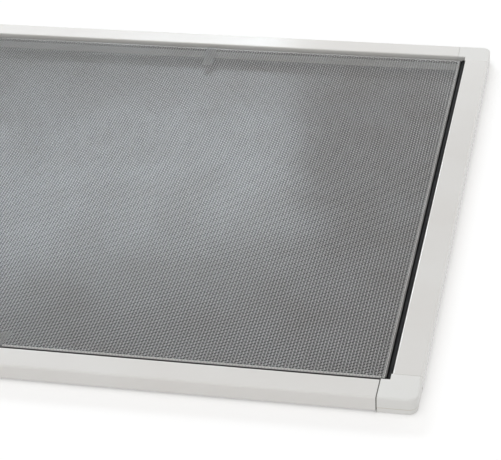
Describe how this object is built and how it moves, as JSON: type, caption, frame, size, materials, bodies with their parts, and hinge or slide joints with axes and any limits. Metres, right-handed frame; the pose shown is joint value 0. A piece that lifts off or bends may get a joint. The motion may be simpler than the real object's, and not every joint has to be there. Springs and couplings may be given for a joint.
{
  "type": "wildfire screen",
  "caption": "Framed wire screen panel: white hollow rails with moulded corner blocks hold a fine woven metal mesh that is pressed into a groove by a black spline.",
  "frame": {"origin": "middle of the footprint on the plane that the corner blocks stand on", "axes": "+X along the screen's width, +Y up the screen's height, +Z out of the wire side; the screen lies on its back"},
  "size_m": [0.457, 0.432, 0.0105],
  "materials": {
    "rail_paint": "satin white baked paint on rolled aluminium",
    "corner_plastic": "satin white moulded plastic",
    "wire": "drawn grey wire",
    "spline_rubber": "black extruded cord",
    "tab_plastic": "plain grey strip"
  },
  "bodies": {
    "root": {"bottom_rail": "rail_paint", "right_rail": "rail_paint", "top_rail": "rail_paint", "left_rail": "rail_paint", "corner_bottom_left": "corner_plastic", "corner_bottom_right": "corner_plastic", "corner_top_right": "corner_plastic", "corner_top_left": "corner_plastic", "wire_mesh": "wire", "spline_bottom": "spline_rubber", "spline_right": "spline_rubber", "spline_top": "spline_rubber", "spline_left": "spline_rubber", "pull_tab_bottom": "tab_plastic", "pull_tab_top": "tab_plastic"}
  },
  "joints": []
}
